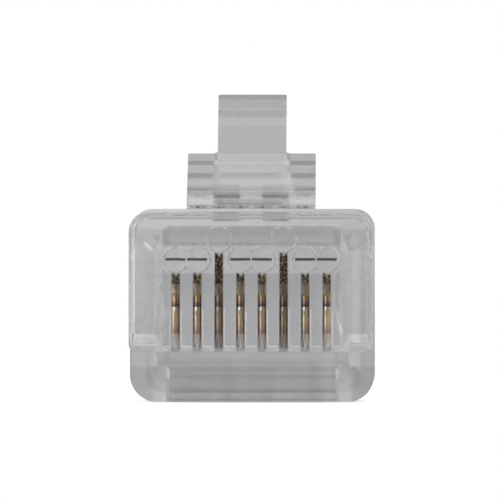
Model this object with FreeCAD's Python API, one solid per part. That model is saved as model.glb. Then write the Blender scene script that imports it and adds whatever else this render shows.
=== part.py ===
"""Eight-position modular plug for a thick cable: clear housing, latch, strain relief bar and contacts."""
import FreeCAD, Part
import math
import os

from FreeCAD import Vector

# Millimetres. X is the width, the nose looks along -Y, the cable enters from +Y and the latch is on top.
# The origin is the middle of the nose face, where the plug meets its jack. Heights are stated and modelled
# from the flat underside, and the finished pieces are lowered to the origin. Y is a distance back from the
# nose face.

# Outer form of the housing. The mould's draft makes it grow a little from the nose to the rear.
PLUG_LENGTH = 22.8
REAR_WIDTH = 11.68
REAR_HEIGHT = 9.2
NOSE_WIDTH = 11.52
NOSE_HEIGHT = 6.6
REAR_DROP = 2.42
STEP_BEHIND = 9.3
STEP_RUN = 0.5
TOP_CORNER_RADIUS = 0.95
BOTTOM_CORNER_RADIUS = 1.25
NOSE_RIM_RADIUS = 0.35
CHIN_RADIUS = 0.85

# Room for the cable's jacket, and the funnel that gathers its conductors.
SIDE_WALL = 1.02
FLOOR_WALL = 1.7
ROOF_WALL = 1.6
ROOM_DRAFT = 0.15
ROOM_FLOOR_RADIUS = 1.0
ROOM_ROOF_RADIUS = 0.5
ROOM_END_BEHIND = 11.5
MOUTH_CHAMFER = 0.35
FUNNEL_END_BEHIND = 8.2
FUNNEL_MARGIN = 0.03
FUNNEL_RADIUS = 0.3

# Wire channels. The raised ones clear their neighbours, so that thick conductors lie in two rows.
CONTACT_COUNT = 8
CONTACT_PITCH = 1.016
RAISED_CONTACTS = (3, 6)
CHANNEL_RADIUS = 0.62
CHANNEL_HEIGHT = 6.78
CHANNEL_RAISE = 0.95
CHANNEL_FRONT = 1.25
CHANNEL_BEVEL = 0.04
CHANNEL_LIP = 0.45
WITNESS_WIDTH = 0.94
WITNESS_HEIGHT = 0.13
WITNESS_DEPTH = 0.12

# Contact blades, stamped from strip. Heights are from the blade's outer edge, where the jack's wires bear.
BLADE_THICKNESS = 0.35
BLADE_FRONT_BEHIND = 0.95
BLADE_LENGTH = 5.8
BLADE_SET_BACK = 0.15
BLADE_CRIMPED_DEPTH = 0.6
SHOULDER_RISE = 2.6
COMB_RISE = 2.95
TINE_RISE = 3.55
TINE_COUNT = 3
TINE_PITCH = 1.35
TINE_WIDTH = 0.85
TINE_TIP_WIDTH = 0.22
TINE_EDGE = 0.07
TINE_POINT = 0.5
FRONT_NOSE_RADIUS = 0.7
HEEL_RADIUS = 0.35

# Slots that guide the blades.
SLOT_CLEARANCE = 0.03
SLOT_END_CLEARANCE = 0.1
SLOT_FACE_HEIGHT = 2.0
SLOT_MOUTH_RADIUS = 0.1
FRONT_WALL = 0.75
COMB_WIDTH = 8.34
COMB_RECESS = 0.2

# Latch: a wide arm that ends in two locking shoulders, then a narrow tail for the finger.
LATCH_WIDTH = 6.05
TAIL_WIDTH = 3.25
SHOULDER_BEHIND = 8.36
SHOULDER_TOP = 11.8
SHOULDER_DEPTH = 1.3
TAIL_BEHIND = 15.6
TAIL_TOP = 14.65
TAIL_DEPTH = 0.7
KNEE_BEHIND = 12.6
KNEE_TOP = 13.88
KNEE_DEPTH = 0.8
TAIL_TIP_RADIUS = 0.2
INNER_CORNER_RADIUS = 0.25
ROOT_FRONT_BEHIND = 0.35
ROOT_TOP = 9.6
HINGE_BEHIND = 1.9
HINGE_RADIUS = 0.42
HINGE_CLEARANCE = 0.04
ROOT_SEAT = 0.15

# Pairs of small hollows that keep the moulding thin at the latch's root.
HOLLOW_INNER = 0.55
HOLLOW_WIDTH = 1.2
FACE_HOLLOW_HEIGHT = 0.38
FACE_HOLLOW_DEPTH = 0.6
FACE_HOLLOW_BELOW = 0.05
HOLLOW_DRAFT = 0.08
ROOT_HOLLOW_FRONT = 0.22
ROOT_HOLLOW_LENGTH = 0.62
ROOT_HOLLOW_DEPTH = 0.3

# Square dimples in the nose face, one on each side of the blades, left by the pins that steady the cores.
DIMPLE_ASIDE = 4.39
DIMPLE_HEIGHT = 5.43
DIMPLE_WIDTH = 0.44
DIMPLE_DEPTH = 0.3

# Strain relief bar, which the crimping tool folds in against the jacket.
BAR_WIDTH = 7.9
BAR_LENGTH = 3.75
BAR_HINGE_BEHIND = 17.2
BAR_HINGE_RADIUS = 0.45
BAR_RECESS = 0.25
BAR_BITE = 0.3
BAR_GAP = 0.15
BAR_FRONT_RADIUS = 0.2

# Reach of a cutter past what it cuts, and the tolerance for picking faces and edges.
BEYOND = 2.0
EASE = 0.01
ACROSS = Vector(1, 0, 0)
ALONG = Vector(0, 1, 0)
UP = Vector(0, 0, 1)

NOSE_FLOOR = REAR_DROP
NOSE_TOP = NOSE_FLOOR + NOSE_HEIGHT
NOSE_MIDDLE = (NOSE_FLOOR + NOSE_TOP) / 2
BLADE_OUTER = NOSE_FLOOR + BLADE_SET_BACK
BLADE_TRAVEL = BLADE_CRIMPED_DEPTH - BLADE_SET_BACK


def box(x_from, x_to, y_from, y_to, z_from, z_to):
    """Box between two values on each axis."""
    return Part.makeBox(x_to - x_from, y_to - y_from, z_to - z_from, Vector(x_from, y_from, z_from))


def side_prism(outline, width):
    """Prism across the plug from a side outline of (Y, height) points."""
    points = [Vector(-width / 2, y, height) for y, height in outline]
    face = Part.Face(Part.makePolygon(points + points[:1]))
    return face.extrude(Vector(width, 0, 0))


def cross_rod(y, height, radius, width):
    """Round rod that lies across the plug."""
    return Part.makeCylinder(radius, width, Vector(-width / 2, y, height), ACROSS)


def corner_arc(x, y, z, radius, start_degrees):
    """Quarter circle in a cross-section, anticlockwise as the nose is looked at."""
    points = []
    for turn in (0, 45, 90):
        angle = math.radians(start_degrees + turn)
        points.append(Vector(x + radius * math.cos(angle), y, z + radius * math.sin(angle)))
    return Part.Arc(*points).toShape()


def rounded_section(y, width, low, high, low_radius, high_radius):
    """Cross-section of the plug: a rectangle with one radius below and another above."""
    low_x = width / 2 - low_radius
    high_x = width / 2 - high_radius
    arcs = [
        corner_arc(high_x, y, high - high_radius, high_radius, 0),
        corner_arc(-high_x, y, high - high_radius, high_radius, 90),
        corner_arc(-low_x, y, low + low_radius, low_radius, 180),
        corner_arc(low_x, y, low + low_radius, low_radius, 270),
    ]
    edges = []
    for arc, following in zip(arcs, arcs[1:] + arcs[:1]):
        edges.append(arc)
        edges.append(Part.LineSegment(arc.lastVertex().Point, following.firstVertex().Point).toShape())
    return Part.Wire(edges)


def contact_x(number):
    """X of a contact's middle plane. Contact 1 is at -X."""
    return (number - (CONTACT_COUNT + 1) / 2) * CONTACT_PITCH


def raise_of(number):
    """How much higher a conductor lies than those of the lower row."""
    return CHANNEL_RAISE if number in RAISED_CONTACTS else 0.0


def edges_along(shape, axis, test):
    """Straight edges near enough parallel to an axis whose middle point passes a test."""
    found = []
    for edge in shape.Edges:
        span = edge.lastVertex().Point - edge.firstVertex().Point
        if abs(span.dot(axis)) < (1 - EASE) * edge.Length:
            continue
        if test(edge.CenterOfMass):
            found.append(edge)
    return found


def edges_at(shape, axis, y, abs_x_below=math.inf, z_below=math.inf):
    """Edges parallel to an axis at one distance behind the nose, or only those near in or low down."""
    return edges_along(
        shape, axis, lambda p: abs(p.y - y) < EASE and abs(p.x) < abs_x_below and p.z < z_below
    )


def plan_prism(nose_width, rear_width, length, height):
    """Upright prism over a plan that widens evenly from the nose face back."""
    corners = [
        Vector(-nose_width / 2, 0, 0),
        Vector(nose_width / 2, 0, 0),
        Vector(rear_width / 2, length, 0),
        Vector(-rear_width / 2, length, 0),
    ]
    return Part.Face(Part.makePolygon(corners + corners[:1])).extrude(Vector(0, 0, height))


def outer_form():
    """Drafted body: its side outline, with the drop behind the nose, trimmed to its tapering plan."""
    side = side_prism(
        [
            (0, NOSE_FLOOR),
            (0, NOSE_TOP),
            (PLUG_LENGTH, REAR_HEIGHT),
            (PLUG_LENGTH, 0),
            (STEP_BEHIND + STEP_RUN, 0),
            (STEP_BEHIND, NOSE_FLOOR),
        ],
        REAR_WIDTH,
    )
    body = side.common(plan_prism(NOSE_WIDTH, REAR_WIDTH, PLUG_LENGTH, REAR_HEIGHT))
    body = body.makeFillet(TOP_CORNER_RADIUS, edges_along(body, ALONG, lambda p: p.z > NOSE_MIDDLE))
    body = body.makeFillet(BOTTOM_CORNER_RADIUS, edges_along(body, ALONG, lambda p: p.z < EASE))
    body = body.makeFillet(CHIN_RADIUS, edges_at(body, ACROSS, 0, z_below=NOSE_MIDDLE))
    sides = edges_along(body, ALONG, lambda p: abs(p.z - NOSE_FLOOR) < EASE)
    return body.makeFillet(NOSE_RIM_RADIUS, sides)


def cable_room():
    """Room for the jacket, widening to its bevelled rear mouth, with the funnel to the channels in front."""
    width = REAR_WIDTH - 2 * SIDE_WALL
    roof = REAR_HEIGHT - ROOF_WALL

    def section(y, margin):
        return rounded_section(
            y, width + 2 * margin, FLOOR_WALL - margin, roof + margin, ROOM_FLOOR_RADIUS, ROOM_ROOF_RADIUS
        )

    half_row = (CONTACT_COUNT - 1) / 2 * CONTACT_PITCH + CHANNEL_RADIUS + FUNNEL_MARGIN
    channel_low = CHANNEL_HEIGHT - CHANNEL_RADIUS - FUNNEL_MARGIN
    channel_high = CHANNEL_HEIGHT + CHANNEL_RAISE + CHANNEL_RADIUS + FUNNEL_MARGIN
    narrow = rounded_section(
        FUNNEL_END_BEHIND, 2 * half_row, channel_low, channel_high, FUNNEL_RADIUS, FUNNEL_RADIUS
    )
    sections = [
        narrow,
        section(ROOM_END_BEHIND, -ROOM_DRAFT),
        section(PLUG_LENGTH - MOUTH_CHAMFER, 0),
        section(PLUG_LENGTH + EASE, MOUTH_CHAMFER + EASE),
    ]
    return Part.makeLoft(sections, True, True)


def blind_bore(x, height, front):
    """Round bore from the funnel to a blind end with a bevelled corner."""
    corner = Vector(x, front + CHANNEL_BEVEL, height)
    bore = Part.makeCylinder(CHANNEL_RADIUS, FUNNEL_END_BEHIND + EASE - corner.y, corner, ALONG)
    end = Vector(x, front, height)
    return bore.fuse(
        Part.makeCone(CHANNEL_RADIUS - CHANNEL_BEVEL, CHANNEL_RADIUS, CHANNEL_BEVEL, end, ALONG)
    )


def wire_channels():
    """Blind channels, one for each conductor. The lower half of each runs on as a small lip."""
    lip_front = CHANNEL_FRONT - CHANNEL_LIP
    cutters = []
    for number in range(1, CONTACT_COUNT + 1):
        x = contact_x(number)
        height = CHANNEL_HEIGHT + raise_of(number)
        cutters.append(blind_bore(x, height, CHANNEL_FRONT))
        lower_half = box(
            x - CHANNEL_RADIUS,
            x + CHANNEL_RADIUS,
            lip_front,
            CHANNEL_FRONT + CHANNEL_LIP,
            height - CHANNEL_RADIUS,
            height,
        )
        cutters.append(blind_bore(x, height, lip_front).common(lower_half))
    return cutters


def witness_grooves():
    """Fine level grooves in the end walls of the lower channels, where the halves of their cores meet."""
    lip_front = CHANNEL_FRONT - CHANNEL_LIP
    grooves = []
    for number in range(1, CONTACT_COUNT + 1):
        if number not in RAISED_CONTACTS:
            x = contact_x(number)
            grooves.append(
                box(
                    x - WITNESS_WIDTH / 2,
                    x + WITNESS_WIDTH / 2,
                    lip_front - WITNESS_DEPTH,
                    CHANNEL_FRONT,
                    CHANNEL_HEIGHT - WITNESS_HEIGHT / 2,
                    CHANNEL_HEIGHT + WITNESS_HEIGHT / 2,
                )
            )
    return grooves


def slot_mouth(x, half_width):
    """Front of a slot, open through the nose face between ribs with rounded edges."""
    radius = SLOT_MOUTH_RADIUS
    face_y = COMB_RECESS
    low_y = -BEYOND
    deep_y = FRONT_WALL + EASE
    turned = radius * (1 - math.sqrt(0.5))
    edges = []
    for side in (-1, 1):
        inner = Vector(x + side * half_width, face_y + radius, 0)
        middle = Vector(x + side * (half_width + turned), face_y + turned, 0)
        outer = Vector(x + side * (half_width + radius), face_y, 0)
        edges.append(Part.Arc(outer, middle, inner).toShape())
        edges.append(Part.makeLine(Vector(inner.x, deep_y, 0), inner))
        edges.append(Part.makeLine(Vector(outer.x, low_y, 0), outer))
    edges.append(Part.makeLine(Vector(x - half_width, deep_y, 0), Vector(x + half_width, deep_y, 0)))
    reach = half_width + radius
    edges.append(Part.makeLine(Vector(x - reach, low_y, 0), Vector(x + reach, low_y, 0)))
    face = Part.Face(Part.Wire(Part.__sortEdges__(edges)))
    face.translate(Vector(0, 0, NOSE_FLOOR - BEYOND))
    return face.extrude(Vector(0, 0, BEYOND + SLOT_FACE_HEIGHT))


def contact_slot(number):
    """Slot for one blade: open below, open at the front of the nose, and narrow up into its channel."""
    x = contact_x(number)
    half_width = BLADE_THICKNESS / 2 + SLOT_CLEARANCE
    gap = SLOT_END_CLEARANCE
    shoulder_top = BLADE_OUTER + SHOULDER_RISE + BLADE_TRAVEL + gap
    pocket = box(
        x - half_width,
        x + half_width,
        BLADE_FRONT_BEHIND - gap,
        BLADE_FRONT_BEHIND + BLADE_LENGTH + gap,
        NOSE_FLOOR - BEYOND,
        shoulder_top,
    )
    comb_front = BLADE_FRONT_BEHIND + (BLADE_LENGTH - comb_length()) / 2
    tine_slot = box(
        x - half_width,
        x + half_width,
        comb_front - gap,
        comb_front + comb_length() + gap,
        shoulder_top - EASE,
        CHANNEL_HEIGHT + raise_of(number),
    )
    return pocket.fuse([tine_slot, slot_mouth(x, half_width)])


def comb_length():
    """Length of the row of tines along the plug."""
    return (TINE_COUNT - 1) * TINE_PITCH + TINE_WIDTH


def comb_recess():
    """Shallow recess of the nose face in front of the ribs."""
    return box(
        -COMB_WIDTH / 2,
        COMB_WIDTH / 2,
        -BEYOND,
        COMB_RECESS,
        NOSE_FLOOR - BEYOND,
        NOSE_FLOOR + SLOT_FACE_HEIGHT,
    )


def arm_slope():
    """Slope of the arm's upper face, from the root's front edge to the shoulders."""
    return (SHOULDER_TOP - ROOT_TOP) / (SHOULDER_BEHIND - ROOT_FRONT_BEHIND)


def arm_top_at(distance):
    """Height of the arm's upper face."""
    return ROOT_TOP + arm_slope() * (distance - ROOT_FRONT_BEHIND)


def hinge_height():
    """Height of the line that the latch bends about, one hinge radius under the arm's upper face."""
    return arm_top_at(HINGE_BEHIND) - HINGE_RADIUS * math.hypot(1, arm_slope())


def latch_root():
    """Foot of the latch on top of the nose, with the round seat that its arm turns in."""
    foot_end = HINGE_BEHIND - ROOT_SEAT
    outline = [
        (ROOT_FRONT_BEHIND, NOSE_TOP - ROOF_WALL / 2),
        (ROOT_FRONT_BEHIND, ROOT_TOP),
        (foot_end, arm_top_at(foot_end)),
        (foot_end, NOSE_TOP - ROOF_WALL / 2),
    ]
    foot = side_prism(outline, LATCH_WIDTH)
    seat_radius = HINGE_RADIUS + HINGE_CLEARANCE
    return foot.cut(cross_rod(HINGE_BEHIND, hinge_height(), seat_radius, LATCH_WIDTH + 2 * BEYOND))


def face_hollow(x_from, x_to, z_from, z_to, depth):
    """Hollow in the nose face whose sides draw in towards its floor."""
    slant = HOLLOW_DRAFT
    return Part.makeWedge(
        x_from, 0, z_from, z_from + slant, x_from + slant, x_to, depth, z_to, z_to - slant, x_to - slant
    )


def root_hollows():
    """Hollows that thin the moulding: two in the nose face under the root and two in the root's top."""
    face_top = NOSE_TOP - FACE_HOLLOW_BELOW
    root_front = ROOT_FRONT_BEHIND + ROOT_HOLLOW_FRONT
    hollows = []
    for inner in (HOLLOW_INNER, -HOLLOW_INNER - HOLLOW_WIDTH):
        outer = inner + HOLLOW_WIDTH
        hollows.append(face_hollow(inner, outer, face_top - FACE_HOLLOW_HEIGHT, face_top, FACE_HOLLOW_DEPTH))
        floor = arm_top_at(root_front) - ROOT_HOLLOW_DEPTH
        hollows.append(
            box(inner, outer, root_front, root_front + ROOT_HOLLOW_LENGTH, floor, ROOT_TOP + BEYOND)
        )
    return hollows


def nose_dimples():
    """Square dimple in the nose face at each side of the row of blades."""
    reach = DIMPLE_WIDTH / 2
    low, high = DIMPLE_HEIGHT - reach, DIMPLE_HEIGHT + reach
    return [
        face_hollow(x - reach, x + reach, low, high, DIMPLE_DEPTH) for x in (-DIMPLE_ASIDE, DIMPLE_ASIDE)
    ]


def bar_window():
    """Window in the floor of the cable room that the strain relief bar folds in through."""
    half_width = BAR_WIDTH / 2 + BAR_GAP
    front = BAR_HINGE_BEHIND - BAR_LENGTH - BAR_GAP
    opening = box(-half_width, half_width, front, BAR_HINGE_BEHIND, -BEYOND, FLOOR_WALL + BEYOND)
    seat = cross_rod(
        BAR_HINGE_BEHIND, bar_hinge_height(), BAR_HINGE_RADIUS + HINGE_CLEARANCE, 2 * half_width
    )
    return opening.fuse(seat)


def bar_hinge_height():
    """Height of the line that the strain relief bar folds about."""
    return BAR_RECESS + BAR_HINGE_RADIUS


def make_housing():
    """Clear moulding: outer form, cable room, funnel, channels, slots, window and the latch's root."""
    housing = outer_form().fuse(latch_root())
    slots = [contact_slot(number) for number in range(1, CONTACT_COUNT + 1)]
    cutters = [cable_room(), bar_window(), comb_recess()]
    cutters += wire_channels() + witness_grooves() + slots + root_hollows() + nose_dimples()
    return housing.cut(cutters).removeSplitter()


def make_latch():
    """Sloping arm with a round root and two locking shoulders, and a narrow tail that bends at its knee."""
    slope = math.atan(arm_slope())
    root_z = hinge_height()
    shoulder_low = SHOULDER_TOP - SHOULDER_DEPTH
    under = Vector(0, SHOULDER_BEHIND - HINGE_BEHIND, shoulder_low - root_z)
    under_angle = math.atan2(under.z, under.y) - math.asin(HINGE_RADIUS / under.Length)
    arm = side_prism(
        [
            (HINGE_BEHIND - HINGE_RADIUS * math.sin(slope), root_z + HINGE_RADIUS * math.cos(slope)),
            (SHOULDER_BEHIND, SHOULDER_TOP),
            (SHOULDER_BEHIND, shoulder_low),
            (
                HINGE_BEHIND + HINGE_RADIUS * math.sin(under_angle),
                root_z - HINGE_RADIUS * math.cos(under_angle),
            ),
        ],
        LATCH_WIDTH,
    )
    tail = side_prism(
        [
            (SHOULDER_BEHIND - EASE, SHOULDER_TOP - arm_slope() * EASE),
            (SHOULDER_BEHIND, SHOULDER_TOP),
            (KNEE_BEHIND, KNEE_TOP),
            (TAIL_BEHIND, TAIL_TOP),
            (TAIL_BEHIND, TAIL_TOP - TAIL_DEPTH),
            (KNEE_BEHIND, KNEE_TOP - KNEE_DEPTH),
            (SHOULDER_BEHIND - EASE, shoulder_low),
        ],
        TAIL_WIDTH,
    )
    root = cross_rod(HINGE_BEHIND, root_z, HINGE_RADIUS, LATCH_WIDTH)
    latch = arm.fuse([tail, root]).removeSplitter()
    inner_corners = edges_at(latch, UP, SHOULDER_BEHIND, abs_x_below=(LATCH_WIDTH + TAIL_WIDTH) / 4)
    latch = latch.makeFillet(INNER_CORNER_RADIUS, inner_corners)
    return latch.makeFillet(TAIL_TIP_RADIUS, edges_at(latch, UP, TAIL_BEHIND))


def make_bar():
    """Bar with a round hinge edge at the rear and a raised front edge that bites the jacket.

    Its back starts below the top of the hinge edge, so that it stays clear of the seat when folded.
    """
    front = BAR_HINGE_BEHIND - BAR_LENGTH
    hinge_z = bar_hinge_height()
    bar = side_prism(
        [
            (front, BAR_RECESS),
            (BAR_HINGE_BEHIND, BAR_RECESS),
            (BAR_HINGE_BEHIND, hinge_z + BAR_HINGE_RADIUS - HINGE_CLEARANCE),
            (front + BAR_LENGTH / 2, FLOOR_WALL),
            (front, FLOOR_WALL + BAR_BITE),
        ],
        BAR_WIDTH,
    )
    bar = bar.fuse(cross_rod(BAR_HINGE_BEHIND, hinge_z, BAR_HINGE_RADIUS, BAR_WIDTH)).removeSplitter()
    return bar.makeFillet(BAR_FRONT_RADIUS, edges_at(bar, ACROSS, front, z_below=FLOOR_WALL / 2))


def blade_outline(number):
    """Points of one blade's side outline: straight bearing edge, shoulders and a comb of tines."""
    front = BLADE_FRONT_BEHIND
    heel = front + BLADE_LENGTH
    shoulder = BLADE_OUTER + SHOULDER_RISE
    comb_root = BLADE_OUTER + COMB_RISE
    tine_top = BLADE_OUTER + TINE_RISE + raise_of(number)
    comb_front = front + (BLADE_LENGTH - comb_length()) / 2
    points = [(front, BLADE_OUTER), (front, shoulder)]
    points.append((comb_front, shoulder))
    for tine in range(TINE_COUNT):
        start = comb_front + tine * TINE_PITCH
        middle = start + TINE_WIDTH / 2
        if tine > 0:
            points.append((start, comb_root))
        points.append((start, tine_top - TINE_POINT))
        points.append((middle - TINE_TIP_WIDTH / 2, tine_top))
        points.append((middle + TINE_TIP_WIDTH / 2, tine_top))
        points.append((start + TINE_WIDTH, tine_top - TINE_POINT))
        if tine < TINE_COUNT - 1:
            points.append((start + TINE_WIDTH, comb_root))
    points += [(comb_front + comb_length(), shoulder), (heel, shoulder), (heel, BLADE_OUTER)]
    return points


def chisel(number, tine):
    """Wedge that bevels one side of a tine's point. Neighbouring tines are bevelled on opposite sides."""
    tine_top = BLADE_OUTER + TINE_RISE + raise_of(number)
    comb_front = BLADE_FRONT_BEHIND + (BLADE_LENGTH - comb_length()) / 2
    start = comb_front + tine * TINE_PITCH - EASE
    side = 1 if tine % 2 == 0 else -1
    x = contact_x(number)
    outer = x + side * (BLADE_THICKNESS / 2 + EASE)
    edge = x - side * (BLADE_THICKNESS / 2 - TINE_EDGE)
    corners = [
        Vector(outer, start, tine_top - TINE_POINT),
        Vector(outer, start, tine_top + EASE),
        Vector(edge, start, tine_top + EASE),
    ]
    face = Part.Face(Part.makePolygon(corners + corners[:1]))
    return face.extrude(Vector(0, TINE_WIDTH + 2 * EASE, 0))


def make_contact(number):
    """One blade: the stamped outline, with its tines sharpened to one side and the other in turn."""
    blade = side_prism(blade_outline(number), BLADE_THICKNESS)
    blade.translate(Vector(contact_x(number), 0, 0))
    blade = blade.cut([chisel(number, tine) for tine in range(TINE_COUNT)])
    lowest = BLADE_OUTER + EASE
    front = edges_at(blade, ACROSS, BLADE_FRONT_BEHIND, z_below=lowest)
    blade = blade.makeFillet(FRONT_NOSE_RADIUS, front)
    heel = edges_at(blade, ACROSS, BLADE_FRONT_BEHIND + BLADE_LENGTH, z_below=lowest)
    return blade.makeFillet(HEEL_RADIUS, heel)


os.makedirs("parts", exist_ok=True)
pieces = {"housing": make_housing(), "latch": make_latch(), "strain_relief_bar": make_bar()}
for number in range(1, CONTACT_COUNT + 1):
    pieces["contact_%d" % number] = make_contact(number)
for name, shape in pieces.items():
    shape.translate(Vector(0, 0, -NOSE_MIDDLE))
    shape.exportStep("parts/%s.step" % name)
    print(name, len(shape.Solids), shape.isValid(), round(shape.Volume, 3))
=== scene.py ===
import math

import bpy
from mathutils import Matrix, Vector


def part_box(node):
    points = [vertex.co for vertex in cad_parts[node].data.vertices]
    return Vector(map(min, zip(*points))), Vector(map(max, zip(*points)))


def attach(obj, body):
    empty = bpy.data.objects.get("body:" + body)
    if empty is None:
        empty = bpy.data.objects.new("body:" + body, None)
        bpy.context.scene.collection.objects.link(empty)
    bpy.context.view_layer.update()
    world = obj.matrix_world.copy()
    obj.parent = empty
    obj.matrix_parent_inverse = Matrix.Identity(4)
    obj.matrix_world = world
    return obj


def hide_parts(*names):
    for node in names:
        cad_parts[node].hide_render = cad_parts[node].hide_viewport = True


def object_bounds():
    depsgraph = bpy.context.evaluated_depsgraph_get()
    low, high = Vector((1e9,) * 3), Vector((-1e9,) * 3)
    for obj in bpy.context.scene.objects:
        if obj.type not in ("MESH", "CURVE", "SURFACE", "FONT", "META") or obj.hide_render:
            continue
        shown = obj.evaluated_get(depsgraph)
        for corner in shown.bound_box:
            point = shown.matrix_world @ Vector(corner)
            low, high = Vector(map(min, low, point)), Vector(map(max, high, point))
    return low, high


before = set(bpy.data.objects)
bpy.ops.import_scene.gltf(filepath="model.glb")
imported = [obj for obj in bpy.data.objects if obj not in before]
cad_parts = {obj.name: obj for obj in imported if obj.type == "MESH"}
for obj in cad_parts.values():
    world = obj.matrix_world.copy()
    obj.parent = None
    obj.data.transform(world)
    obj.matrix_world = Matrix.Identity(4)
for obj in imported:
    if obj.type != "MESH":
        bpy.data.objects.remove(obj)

cad_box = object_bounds()


# ---------------------------------------------------------------------------------------------
# Camera, floor and light. A very long lens looks square onto the nose from a little to one side, so
# the plug keeps almost the same scale from its nose to its cable mouth. It stands on white paper in
# a grey studio, with a bright card, a key light and a fill light in front of it.
# ---------------------------------------------------------------------------------------------
MM = 0.001
SCENE = bpy.context.scene
SCENE.view_settings.view_transform = "Standard"

# Light crosses many walls of clear plastic before it leaves the plug.
SCENE.cycles.max_bounces = 48
SCENE.cycles.transmission_bounces = 48
SCENE.cycles.glossy_bounces = 32

LENS = 1400
SENSOR_WIDTH = 36
FRAME_WIDTH = 23.5 * MM
SIGHT = Vector((-0.05 * MM, 0, 1.5 * MM))
DEGREES_ASIDE = 0.3

distance = LENS / SENSOR_WIDTH * FRAME_WIDTH
camera_data = bpy.data.cameras.new("camera")
camera_data.lens = LENS
camera_data.clip_start = 0.01
camera_data.clip_end = 5
camera = bpy.data.objects.new("camera", camera_data)
SCENE.collection.objects.link(camera)
turn = math.radians(DEGREES_ASIDE)
camera.location = SIGHT + Vector((math.sin(turn), -math.cos(turn), 0)) * distance
camera.rotation_euler = (math.radians(90), 0, turn)
SCENE.camera = camera

FLOOR_RADIUS = 160 * MM
FLOOR_MIDDLE = (0, 11 * MM, cad_box[0].z)
bpy.ops.object.select_all(action="DESELECT")
bpy.ops.mesh.primitive_circle_add(vertices=96, radius=FLOOR_RADIUS, fill_type="NGON", location=FLOOR_MIDDLE)
floor = bpy.context.object
floor.name = "floor"


class Socket:
    """An output of a shader node, with sums written as Python expressions."""

    def __init__(self, tree, link):
        self.tree = tree
        self.link = link

    def maths(self, operation, *values):
        return self.tree.node("ShaderNodeMath", {"operation": operation}, dict(enumerate(values)))

    def __add__(self, other):
        return self.maths("ADD", self, other)

    def __radd__(self, other):
        return self.maths("ADD", other, self)

    def __sub__(self, other):
        return self.maths("SUBTRACT", self, other)

    def __rsub__(self, other):
        return self.maths("SUBTRACT", other, self)

    def __mul__(self, other):
        return self.maths("MULTIPLY", self, other)

    def __rmul__(self, other):
        return self.maths("MULTIPLY", other, self)

    def __lt__(self, other):
        return self.maths("LESS_THAN", self, other)

    def __gt__(self, other):
        return self.maths("GREATER_THAN", self, other)

    def __abs__(self):
        return self.maths("ABSOLUTE", self)

    def fraction(self):
        return self.maths("FRACT", self)

    def near(self, centre, reach):
        """Mask that is 1 within a reach of a centre."""
        return self.maths("COMPARE", self, centre, reach)

    def clamped(self):
        return self.tree.node("ShaderNodeClamp", {}, {"Value": self})

    def rising(self, start, length):
        """Mask that is 0 up to a start and climbs to 1 over a length."""
        return ((self - start) * (1 / length)).clamped()


class Finish:
    """A material or world that adds its nodes one at a time."""

    def __init__(self, name, holder=None):
        self.data = holder or bpy.data.materials.new(name)
        self.data.use_nodes = True
        self.nodes = self.data.node_tree.nodes
        self.links = self.data.node_tree.links
        self.nodes.clear()

    def node(self, kind, settings, sockets, output=0):
        made = self.nodes.new(kind)
        for name, value in settings.items():
            if name == "stops":
                stops = made.color_ramp.elements
                while len(stops) < len(value):
                    stops.new(1)
                for stop, (position, colour) in zip(stops, value):
                    stop.position = position
                    stop.color = colour
            else:
                setattr(made, name, value)
        for name, value in sockets.items():
            if isinstance(value, Socket):
                self.links.new(value.link, made.inputs[name])
            else:
                made.inputs[name].default_value = value
        return Socket(self, made.outputs[output])

    def output(self, kind, surface):
        end = self.nodes.new(kind)
        self.links.new(surface.link, end.inputs["Surface"])
        return self.data


# White paper, which the camera sees lit and the clear plastic mirrors and bends as an even grey.
PAPER_DARK = (0.93, 0.93, 0.93, 1)
PAPER_LIGHT = (0.96, 0.96, 0.96, 1)
PAPER_IN_PLASTIC = (0.50, 0.50, 0.505, 1)
WHITE = (1, 1, 1, 1)
paper = Finish("white_paper")
grain = paper.node("ShaderNodeTexNoise", {}, {"Scale": 40.0, "Detail": 2.0})
paper_colour = paper.node(
    "ShaderNodeMix",
    {"data_type": "RGBA"},
    {"Factor": grain, "A": PAPER_DARK, "B": PAPER_LIGHT},
    output=2,
)
lit = paper.node(
    "ShaderNodeBsdfPrincipled",
    {},
    {
        "Base Color": paper_colour,
        "Roughness": 0.9,
        "Specular IOR Level": 0.0,
        "Emission Color": WHITE,
        "Emission Strength": 0.5,
    },
)
glow = paper.node("ShaderNodeEmission", {}, {"Color": PAPER_IN_PLASTIC, "Strength": 1.0})
direct = paper.node("ShaderNodeLightPath", {}, {}, output="Is Camera Ray")
paper_surface = paper.node("ShaderNodeMixShader", {}, {0: direct, 1: glow, 2: lit})
floor.data.materials.append(paper.output("ShaderNodeOutputMaterial", paper_surface))

# Grey of the studio by height, from straight down to straight up, then what it is multiplied by from
# the front to the back, and from the left to the right.
HEIGHT_STOPS = (
    (0.0, (0.30, 0.30, 0.305, 1)),
    (0.3, (0.40, 0.40, 0.405, 1)),
    (0.4, (0.43, 0.43, 0.435, 1)),
    (0.48, (0.28, 0.28, 0.282, 1)),
    (0.4968, (0.28, 0.28, 0.282, 1)),
    (0.4984, (0.64, 0.64, 0.645, 1)),
    (0.53, (0.66, 0.66, 0.665, 1)),
    (0.57, (0.56, 0.56, 0.565, 1)),
    (0.72, (0.60, 0.60, 0.605, 1)),
    (0.85, (0.76, 0.76, 0.76, 1)),
    (1.0, (0.50, 0.50, 0.505, 1)),
)
DEPTH_STOPS = (
    (0.0, (0.25, 0.25, 0.25, 1)),
    (0.2, (0.3, 0.3, 0.3, 1)),
    (0.4, (0.6, 0.6, 0.6, 1)),
    (0.55, (1, 1, 1, 1)),
    (1.0, (1, 1, 1, 1)),
)
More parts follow.
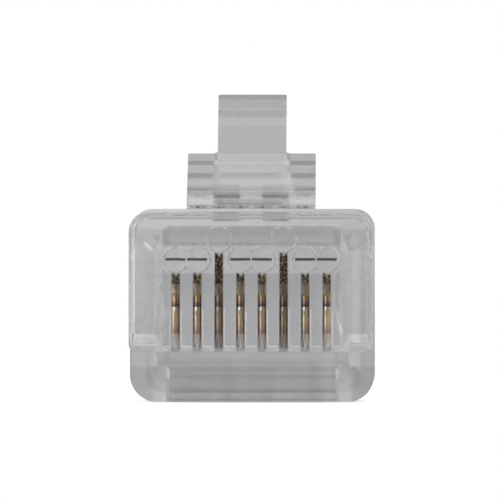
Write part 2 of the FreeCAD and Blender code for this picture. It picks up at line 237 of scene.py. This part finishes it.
SIDE_STOPS = (
    (0.0, (1.1, 1.1, 1.1, 1)),
    (0.08, (1.2, 1.2, 1.2, 1)),
    (0.25, (1, 1, 1, 1)),
    (0.496, (1.10, 1.10, 1.10, 1)),
    (0.502, (0.80, 0.80, 0.80, 1)),
    (0.52, (0.74, 0.74, 0.74, 1)),
    (0.6, (1, 1, 1, 1)),
    (0.8, (1, 1, 1, 1)),
    (0.88, (1.2, 1.2, 1.2, 1)),
    (0.96, (1.45, 1.45, 1.45, 1)),
    (1.0, (1.3, 1.3, 1.3, 1)),
)

# The bright card stands to the front left, as wide as the cosine of the angle at its edge says.
CARD_TOWARD = (-0.72, -0.69, 0.05)
CARD_EDGE = 0.80
CARD_SOFTNESS = 0.1
CARD_GREY = (2.0, 2.0, 2.0, 1)
SCENE.world = bpy.data.worlds.new("studio")
studio = Finish("studio", SCENE.world)
toward = studio.node("ShaderNodeTexCoord", {}, {}, output="Generated")
across = studio.node("ShaderNodeSeparateXYZ", {}, {"Vector": toward}, output="X")
depth = studio.node("ShaderNodeSeparateXYZ", {}, {"Vector": toward}, output="Y")
level = studio.node("ShaderNodeSeparateXYZ", {}, {"Vector": toward}, output="Z")
height_grey = studio.node("ShaderNodeValToRGB", {"stops": HEIGHT_STOPS}, {"Fac": level * 0.5 + 0.5})
depth_grey = studio.node("ShaderNodeValToRGB", {"stops": DEPTH_STOPS}, {"Fac": depth * 0.5 + 0.5})
side_grey = studio.node("ShaderNodeValToRGB", {"stops": SIDE_STOPS}, {"Fac": across * 0.5 + 0.5})
room_grey = height_grey
for shade in (depth_grey, side_grey):
    room_grey = studio.node(
        "ShaderNodeMix",
        {"data_type": "RGBA", "blend_type": "MULTIPLY"},
        {"Factor": 1.0, "A": room_grey, "B": shade},
        output=2,
    )
card = studio.node(
    "ShaderNodeVectorMath", {"operation": "DOT_PRODUCT"}, {0: toward, 1: CARD_TOWARD}, output="Value"
)
room_grey = studio.node(
    "ShaderNodeMix",
    {"data_type": "RGBA"},
    {"Factor": card.rising(CARD_EDGE, CARD_SOFTNESS), "A": room_grey, "B": CARD_GREY},
    output=2,
)
seen = studio.node("ShaderNodeLightPath", {}, {}, output="Is Camera Ray")
spread = studio.node("ShaderNodeLightPath", {}, {}, output="Is Diffuse Ray")
room = studio.node("ShaderNodeBackground", {}, {"Color": room_grey, "Strength": 1.0})
white = studio.node("ShaderNodeBackground", {}, {"Color": WHITE, "Strength": 1.0})
studio_surface = studio.node("ShaderNodeMixShader", {}, {0: (seen + spread).clamped(), 1: room, 2: white})
studio.output("ShaderNodeOutputWorld", studio_surface)


def softbox(name, place, aim, size, power):
    """Square area light that looks at a point."""
    lamp = bpy.data.lights.new(name, "AREA")
    lamp.size = size
    lamp.energy = power
    made = bpy.data.objects.new(name, lamp)
    made.location = place
    made.rotation_euler = (Vector(aim) - Vector(place)).to_track_quat("-Z", "Y").to_euler()
    made.visible_transmission = False
    SCENE.collection.objects.link(made)


softbox("key_light", place=(-0.16, -0.17, 0.04), aim=(0, 0.005, 0), size=0.17, power=0.13)
softbox("fill_light", place=(0.16, -0.14, 0.10), aim=(0, 0.01, 0), size=0.14, power=0.03)


# ---------------------------------------------------------------------------------------------
# Clear moulding: housing, latch and strain relief bar, moulded in one shot of polycarbonate.
# The melt ran in from the rear, so its faint flow lines lie along the plug, and a witness line
# crosses the nose where two parts of the mould met.
# ---------------------------------------------------------------------------------------------
REFRACTIVE_INDEX = 1.585
POLISH = 0.07
HAZE = 0.05
FLOW_SCALE = (2600.0, 60.0, 2600.0)
FLOW_DEPTH = 0.01 * MM

WITNESS_Z = 1.06 * MM
WITNESS_BAND = 0.066 * MM
WITNESS_WOBBLE = 0.12 * MM
WITNESS_FRONT = 0.6 * MM
WITNESS_BACK = 0.72 * MM
WITNESS_COLOUR = (0.02, 0.02, 0.02, 1)

# Painted shade: the plastic's tint by level, from its underside up, darker towards the underside
# and much darker at the very top.
LEVEL_LOW = -6.0 * MM
LEVEL_SPAN = 15 * MM
PAINTED_SHADE_LEVEL_STOPS = (
    (0.02, (0.91, 0.912, 0.915, 1)),
    (0.20, (0.93, 0.932, 0.935, 1)),
    (0.213, (0.94, 0.942, 0.945, 1)),
    (0.467, (0.98, 0.981, 0.983, 1)),
    (0.64, (1.0, 1.0, 1.0, 1)),
    (0.942, (1.0, 1.0, 1.0, 1)),
    (0.95, (0.60, 0.601, 0.603, 1)),
)

# Cloudy streaks, upright and level ones together, which die out towards the top of the nose.
UPRIGHT_STREAK_SCALE = (1500.0, 40.0, 120.0)
LEVEL_STREAK_SCALE = (120.0, 40.0, 1300.0)
STREAK_CUT = 0.38
STREAK_CONTRAST = 4.0
STREAK_GREY = (0.88, 0.88, 0.88, 1)
STREAK_FREE = (1.0, 1.0, 1.0, 1)
CALM_LEVEL = 1.8 * MM
CALM_FADE = 0.3 * MM

# Painted shade: darker zones where shade falls, in millimetres: distance from the middle, level,
# softness of the edge, and tint.
PAINTED_SHADE_ZONES = (
    ((0.53, 1.81), (2.86, 3.26), 0.02, 0.70),
    ((0.53, 1.81), (3.93, 4.61), 0.02, 0.70),
    ((4.75, 6.0), (-6.0, -3.1), 0.3, 0.76),
    ((1.6, 3.2), (5.1, 5.52), 0.1, 0.84),
    ((1.6, 3.2), (5.55, 6.1), 0.1, 0.94),
    ((-1.0, 1.6), (4.1, 4.85), 0.1, 0.95),
    ((-1.0, 1.6), (5.45, 7.4), 0.1, 0.83),
    ((3.9, 6.0), (1.5, 1.95), 0.1, 0.93),
    ((3.9, 6.0), (1.9, 2.5), 0.2, 0.84),
    ((4.6, 6.0), (-4.2, -3.1), 0.2, 0.84),
    ((-1.0, 4.3), (-3.95, -3.65), 0.1, 0.89),
    ((-1.0, 4.3), (-3.3, -3.05), 0.1, 0.94),
)

clear = Finish("clear_polycarbonate")
place = clear.node("ShaderNodeTexCoord", {}, {}, output="Object")
place_x = clear.node("ShaderNodeSeparateXYZ", {}, {"Vector": place}, output="X")
place_y = clear.node("ShaderNodeSeparateXYZ", {}, {"Vector": place}, output="Y")
place_z = clear.node("ShaderNodeSeparateXYZ", {}, {"Vector": place}, output="Z")
haze = clear.node("ShaderNodeTexNoise", {}, {"Vector": place, "Scale": 700.0, "Detail": 3.0})
along_flow = clear.node("ShaderNodeMapping", {}, {"Vector": place, "Scale": FLOW_SCALE})
flow = clear.node("ShaderNodeTexNoise", {}, {"Vector": along_flow, "Scale": 1.0, "Detail": 2.0})
flow_relief = clear.node("ShaderNodeBump", {}, {"Strength": 0.12, "Distance": FLOW_DEPTH, "Height": flow})

# Painted shade: the plastic's colour darkens by level.
painted_shade_by_level = clear.node(
    "ShaderNodeValToRGB", {"stops": PAINTED_SHADE_LEVEL_STOPS}, {"Fac": place_z.rising(LEVEL_LOW, LEVEL_SPAN)}
)
up_streaks = clear.node("ShaderNodeMapping", {}, {"Vector": place, "Scale": UPRIGHT_STREAK_SCALE})
streak = clear.node("ShaderNodeTexNoise", {}, {"Vector": up_streaks, "Scale": 1.0, "Detail": 3.0})
level_bands = clear.node("ShaderNodeMapping", {}, {"Vector": place, "Scale": LEVEL_STREAK_SCALE})
band = clear.node("ShaderNodeTexNoise", {}, {"Vector": level_bands, "Scale": 1.0, "Detail": 3.0})
calm = place_z.rising(CALM_LEVEL, CALM_FADE)
streak_free = ((streak * 0.5 + band * 0.5 - STREAK_CUT) * STREAK_CONTRAST + calm).clamped()
streak_tint = clear.node(
    "ShaderNodeMix",
    {"data_type": "RGBA"},
    {"Factor": streak_free, "A": STREAK_GREY, "B": STREAK_FREE},
    output=2,
)
# The plastic's colour: random cloudy streaks times painted shade by level and by zone.
streaks_and_painted_shade = clear.node(
    "ShaderNodeMix",
    {"data_type": "RGBA", "blend_type": "MULTIPLY"},
    {"Factor": 1.0, "A": painted_shade_by_level, "B": streak_tint},
    output=2,
)


def within(value, low, high, soft):
    """Mask that is 1 between two places in millimetres and fades out over a soft length."""
    rising = ((value - low * MM) * (1 / (soft * MM)) + 0.5).clamped()
    falling = ((high * MM - value) * (1 / (soft * MM)) + 0.5).clamped()
    return rising * falling


distance_out = abs(place_x)
# Each zone multiplies painted shade into the plastic's colour.
for (inner, outer), (bottom, top), soft, grey in PAINTED_SHADE_ZONES:
    shaded_zone = within(distance_out, inner, outer, soft) * within(place_z, bottom, top, soft)
    streaks_and_painted_shade = clear.node(
        "ShaderNodeMix",
        {"data_type": "RGBA", "blend_type": "MULTIPLY"},
        {"Factor": shaded_zone, "A": streaks_and_painted_shade, "B": (grey, grey, grey, 1)},
        output=2,
    )
witness_line = (place_z + (streak - 0.5) * WITNESS_WOBBLE).near(WITNESS_Z, WITNESS_BAND)
witness = witness_line * (place_y < WITNESS_BACK) * (place_y > WITNESS_FRONT)
clear_colour = clear.node(
    "ShaderNodeMix",
    {"data_type": "RGBA"},
    {"Factor": witness, "A": streaks_and_painted_shade, "B": WITNESS_COLOUR},
    output=2,
)
clear_shader = clear.node(
    "ShaderNodeBsdfPrincipled",
    {},
    {
        "Base Color": clear_colour,
        "Roughness": haze * HAZE + POLISH,
        "Normal": flow_relief,
        "IOR": REFRACTIVE_INDEX,
        "Transmission Weight": 1.0,
    },
)
clear_plastic = clear.output("ShaderNodeOutputMaterial", clear_shader)
for name in ("housing", "latch", "strain_relief_bar"):
    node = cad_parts[name]
    node.data.materials.clear()
    node.data.materials.append(clear_plastic)


# ---------------------------------------------------------------------------------------------
# Eight contact blades, stamped from phosphor bronze strip, with gold over nickel on the edge that
# bears on the jack's wires. The right half of each blade above its lowest part is painted darker as
# painted shade, and the tines at the top are painted nearly black as painted shade, with painted
# glints on them. Each blade is pressed into its slot.
# ---------------------------------------------------------------------------------------------
CONTACT_COUNT = 8
CONTACT_PITCH = 1.016 * MM
TALL_BLADE_X = 1.524 * MM
TALL_BLADE_REACH = 0.3 * MM

MERGE_GAP = 0.002 * MM
BLADE_ROUND = 0.16 * MM
BLADE_BURR = 0.02 * MM
BEARING_REACH = 0.8 * MM
BEARING_TOP = -0.6 * MM
SNUG = 0.004 * MM

# Colour of a blade by level, from its gold bearing edge up past the body to the tines, in light and
# dark bands; the tines at the top are painted nearly black, as painted shade.
PLATING_LOW = -3.3 * MM
PLATING_SPAN = 3.5 * MM
PLATING_AND_SHADE_STOPS = (
    (0.0, (1.0, 0.95, 0.89, 1)),
    (0.12, (1.0, 0.95, 0.89, 1)),
    (0.20, (1.0, 0.88, 0.75, 1)),
    (0.235, (1.0, 0.92, 0.82, 1)),
    (0.255, (0.70, 0.44, 0.34, 1)),
    (0.33, (0.90, 0.62, 0.46, 1)),
    (0.39, (1.0, 0.78, 0.50, 1)),
    (0.57, (1.0, 0.80, 0.53, 1)),
    (0.58, (0.95, 0.88, 0.80, 1)),
    (0.603, (0.95, 0.88, 0.80, 1)),
    (0.615, (0.12, 0.06, 0.07, 1)),
    (0.68, (0.50, 0.34, 0.25, 1)),
    (0.72, (0.68, 0.46, 0.23, 1)),
    (0.79, (0.64, 0.43, 0.21, 1)),
    (0.80, (0.60, 0.49, 0.37, 1)),
    (0.905, (0.52, 0.42, 0.33, 1)),
    (0.925, (0.045, 0.02, 0.007, 1)),
    (1.0, (0.035, 0.015, 0.005, 1)),
)
# Painted shade: the two tall blades are painted darker all over.
TALL_BLADE_SHADE_COLOUR = (0.11, 0.06, 0.035, 1)
TALL_BLADE_SHADE_AMOUNT = 0.5
TALL_BLADE_FEWER_PAINTED_GLINTS = 0.04

# A blade stands at the half of each pitch; from just past its middle, its right half above its
# lowest part is painted darker, as painted shade.
SHADED_HALF_SHARPNESS = 12.0
SHADED_HALF_START = 6.1
SHADED_HALF_GREY = (0.80, 0.80, 0.80, 1)
SHADED_HALF_LOW = -2.5 * MM
SHADED_HALF_FADE = 0.2 * MM

SHEAR_LOW = -0.12 * MM
SHEAR_FADE = 0.06 * MM
SHEAR_ROUGHNESS = 0.25
# Painted glints: bright gold specks on the tines.
PAINTED_GLINT_STOPS = ((0.52, (0, 0, 0, 1)), (0.56, (1, 1, 1, 1)))
PAINTED_GLINT_COLOUR = (1.0, 0.80, 0.42, 1)
GOLD_ROUGHNESS = 0.16
DRAG_SCALE = (9000.0, 9000.0, 700.0)
DRAG_ROUGHNESS = 0.18
DRAG_RELIEF = 0.5
SHEAR_RELIEF = 2.0
RELIEF_DEPTH = 0.02 * MM

gold = Finish("gold_plate")
spot = gold.node("ShaderNodeTexCoord", {}, {}, output="Object")
sideways = gold.node("ShaderNodeSeparateXYZ", {}, {"Vector": spot}, output="X")
rise = gold.node("ShaderNodeSeparateXYZ", {}, {"Vector": spot}, output="Z")
shear = gold.node("ShaderNodeTexNoise", {}, {"Vector": spot, "Scale": 12000.0, "Detail": 3.0})
sheared = rise.rising(SHEAR_LOW, SHEAR_FADE)
tall_blade = abs(sideways).near(TALL_BLADE_X, TALL_BLADE_REACH)
# Painted shade: a mask of the right half of each blade.
shaded_half = ((sideways * (1 / CONTACT_PITCH)).fraction() * SHADED_HALF_SHARPNESS - SHADED_HALF_START).clamped()
# Painted glints: bright specks from noise on the tines, fewer on the tall blades.
painted_glint_place = shear - tall_blade * TALL_BLADE_FEWER_PAINTED_GLINTS
painted_glint = gold.node("ShaderNodeValToRGB", {"stops": PAINTED_GLINT_STOPS}, {"Fac": painted_glint_place})
plating_and_shade = gold.node(
    "ShaderNodeValToRGB", {"stops": PLATING_AND_SHADE_STOPS}, {"Fac": rise.rising(PLATING_LOW, PLATING_SPAN)}
)
# Painted shade darkens the two tall blades.
tall_blades_shaded = gold.node(
    "ShaderNodeMix",
    {"data_type": "RGBA"},
    {"Factor": tall_blade * TALL_BLADE_SHADE_AMOUNT, "A": plating_and_shade, "B": TALL_BLADE_SHADE_COLOUR},
    output=2,
)
# Painted shade: the right half of each blade is made darker.
right_half_shaded = gold.node(
    "ShaderNodeMix",
    {"data_type": "RGBA", "blend_type": "MULTIPLY"},
    {"Factor": shaded_half * rise.rising(SHADED_HALF_LOW, SHADED_HALF_FADE), "A": tall_blades_shaded, "B": SHADED_HALF_GREY},
    output=2,
)
gold_colour = gold.node(
    "ShaderNodeMix",
    {"data_type": "RGBA"},
    {"Factor": painted_glint * sheared, "A": right_half_shaded, "B": PAINTED_GLINT_COLOUR},
    output=2,
)
drag = gold.node("ShaderNodeMapping", {}, {"Vector": spot, "Scale": DRAG_SCALE})
drag_lines = gold.node("ShaderNodeTexNoise", {}, {"Vector": drag, "Scale": 1.0, "Detail": 3.0})
worn = drag_lines * DRAG_RELIEF + shear * sheared * SHEAR_RELIEF
relief = gold.node("ShaderNodeBump", {}, {"Strength": 0.6, "Distance": RELIEF_DEPTH, "Height": worn})
gold_shader = gold.node(
    "ShaderNodeBsdfPrincipled",
    {},
    {
        "Base Color": gold_colour,
        "Metallic": 1.0,
        "Roughness": drag_lines * DRAG_ROUGHNESS + GOLD_ROUGHNESS + sheared * SHEAR_ROUGHNESS,
        "Normal": relief,
    },
)
gold_plate = gold.output("ShaderNodeOutputMaterial", gold_shader)

for number in range(1, CONTACT_COUNT + 1):
    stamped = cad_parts["contact_%d" % number]
    low_corner, high_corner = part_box("contact_%d" % number)
    blade = bpy.data.objects.new("blade_%d" % number, stamped.data.copy())
    SCENE.collection.objects.link(blade)
    bpy.ops.object.select_all(action="DESELECT")
    blade.select_set(True)
    bpy.context.view_layer.objects.active = blade
    bpy.ops.mesh.customdata_custom_splitnormals_clear()
    bpy.ops.object.mode_set(mode="EDIT")
    bpy.ops.mesh.select_all(action="SELECT")
    bpy.ops.mesh.remove_doubles(threshold=MERGE_GAP)
    bpy.ops.mesh.dissolve_limited(angle_limit=math.radians(2))
    bpy.ops.mesh.select_all(action="DESELECT")
    bpy.ops.object.mode_set(mode="OBJECT")

    # The long edges of the bearing edge are rounded, as the stamping tool leaves them.
    corners = blade.data.vertices
    for edge in blade.data.edges:
        first, second = (corners[index].co for index in edge.vertices)
        middle = (first + second) / 2
        on_side = min(abs(middle.x - low_corner[0]), abs(middle.x - high_corner[0])) < SNUG
        bearing = middle.y < low_corner[1] + BEARING_REACH and middle.z < BEARING_TOP
        edge.select = on_side and bearing and abs(first.x - second.x) < SNUG
    bpy.ops.object.mode_set(mode="EDIT")
    bpy.ops.mesh.bevel(offset=BLADE_ROUND, segments=4, affect="EDGES")
    bpy.ops.object.mode_set(mode="OBJECT")

    burr = blade.modifiers.new("burr", "BEVEL")
    burr.width = BLADE_BURR
    burr.segments = 2
    burr.limit_method = "ANGLE"
    burr.angle_limit = math.radians(50)
    bpy.ops.object.modifier_apply(modifier="burr")
    bpy.ops.object.shade_smooth_by_angle(angle=math.radians(35))
    blade.data.materials.clear()
    blade.data.materials.append(gold_plate)
    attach(blade, "contact_%d" % number)
    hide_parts("contact_%d" % number)
